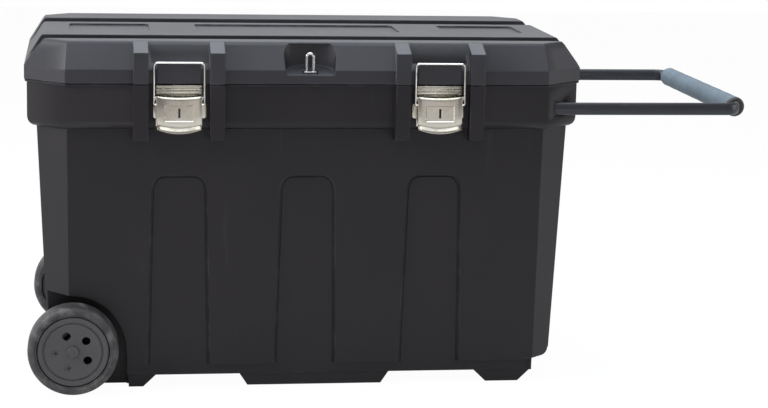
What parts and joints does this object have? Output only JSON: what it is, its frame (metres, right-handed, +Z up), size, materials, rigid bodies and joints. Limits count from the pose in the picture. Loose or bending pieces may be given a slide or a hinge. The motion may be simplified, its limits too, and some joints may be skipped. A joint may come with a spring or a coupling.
{
  "type": "rolling toolbox",
  "caption": "Wheeled moulded-plastic job chest with a hinged lid, over-centre draw latches, a padlock staple and a pull-out U-shaped handle.",
  "frame": {"origin": "on the floor under the middle of the chest's outline", "axes": "+X towards the pull handle, +Y towards the rear with the hinges, +Z up; the latches are at -Y"},
  "size_m": [1.2599, 0.5795, 0.604],
  "materials": {
    "body_plastic": "fine-textured moulded plastic, charcoal black",
    "stop_plastic": "moulded plastic, grey",
    "wheel_plastic": "moulded plastic, dark grey",
    "tyre": "smooth-tread rubber, dark grey",
    "seal": "foam rubber, black",
    "foam": "closed-cell foam, blue grey",
    "handle_steel": "satin black powder coat",
    "bright_steel": "nickel-plated pressed steel"
  },
  "bodies": {
    "tub": {"tub": "body_plastic", "handle_guide_front": "body_plastic", "handle_guide_rear": "body_plastic", "padlock_staple": "bright_steel", "axle": "bright_steel", "axle_washer_front": "bright_steel", "axle_washer_rear": "bright_steel", "axle_cap_front": "wheel_plastic", "axle_cap_rear": "wheel_plastic", "hinge_pin_left": "bright_steel", "hinge_pin_middle": "bright_steel", "hinge_pin_right": "bright_steel", "latch_plate_left": "bright_steel", "latch_plate_right": "bright_steel", "lever_pin_left": "bright_steel", "lever_pin_right": "bright_steel", "latch_rivet_left_a": "bright_steel", "latch_rivet_left_b": "bright_steel", "latch_rivet_right_a": "bright_steel", "latch_rivet_right_b": "bright_steel"},
    "lid": {"lid": "body_plastic", "lid_seal": "seal"},
    "lever_left": {"latch_lever_left": "bright_steel"},
    "lever_right": {"latch_lever_right": "bright_steel"},
    "bail_left": {"latch_bail_left": "bright_steel"},
    "bail_right": {"latch_bail_right": "bright_steel"},
    "handle": {"handle_frame": "handle_steel", "foam_grip": "foam", "handle_stop_front": "stop_plastic", "handle_stop_rear": "stop_plastic"},
    "wheel_front": {"wheel_hub_front": "wheel_plastic", "wheel_tyre_front": "tyre"},
    "wheel_rear": {"wheel_hub_rear": "wheel_plastic", "wheel_tyre_rear": "tyre"}
  },
  "joints": [
    {"name": "lid_hinge", "type": "hinge", "parent": "tub", "child": "lid", "pos_m": [0, 0.2835, 0.5235], "axis": [-1, 0, 0], "range_deg": [0, 100]},
    {"name": "handle_slide", "type": "slide", "parent": "tub", "child": "handle", "axis": [1, 0, 0], "range_m": [-0.245, 0]},
    {"name": "lever_left_hinge", "type": "hinge", "parent": "tub", "child": "lever_left", "pos_m": [-0.2216, -0.279, 0.511], "axis": [-1, 0, 0], "range_deg": [0, 150]},
    {"name": "bail_left_hinge", "type": "hinge", "parent": "lever_left", "child": "bail_left", "pos_m": [-0.2216, -0.283, 0.501], "axis": [1, 0, 0], "range_deg": [0, 205]},
    {"name": "lever_right_hinge", "type": "hinge", "parent": "tub", "child": "lever_right", "pos_m": [0.2216, -0.279, 0.511], "axis": [-1, 0, 0], "range_deg": [0, 150]},
    {"name": "bail_right_hinge", "type": "hinge", "parent": "lever_right", "child": "bail_right", "pos_m": [0.2216, -0.283, 0.501], "axis": [1, 0, 0], "range_deg": [0, 205]},
    {"name": "wheel_front_spin", "type": "hinge", "parent": "tub", "child": "wheel_front", "pos_m": [-0.4, -0.26, 0.077], "axis": [0, 1, 0], "continuous": true},
    {"name": "wheel_rear_spin", "type": "hinge", "parent": "tub", "child": "wheel_rear", "pos_m": [-0.4, 0.26, 0.077], "axis": [0, 1, 0], "continuous": true}
  ],
  "couplings": [
    {"joint": "bail_left_hinge", "follows": "lever_left_hinge", "ratio": 1.35},
    {"joint": "bail_right_hinge", "follows": "lever_right_hinge", "ratio": 1.35}
  ]
}
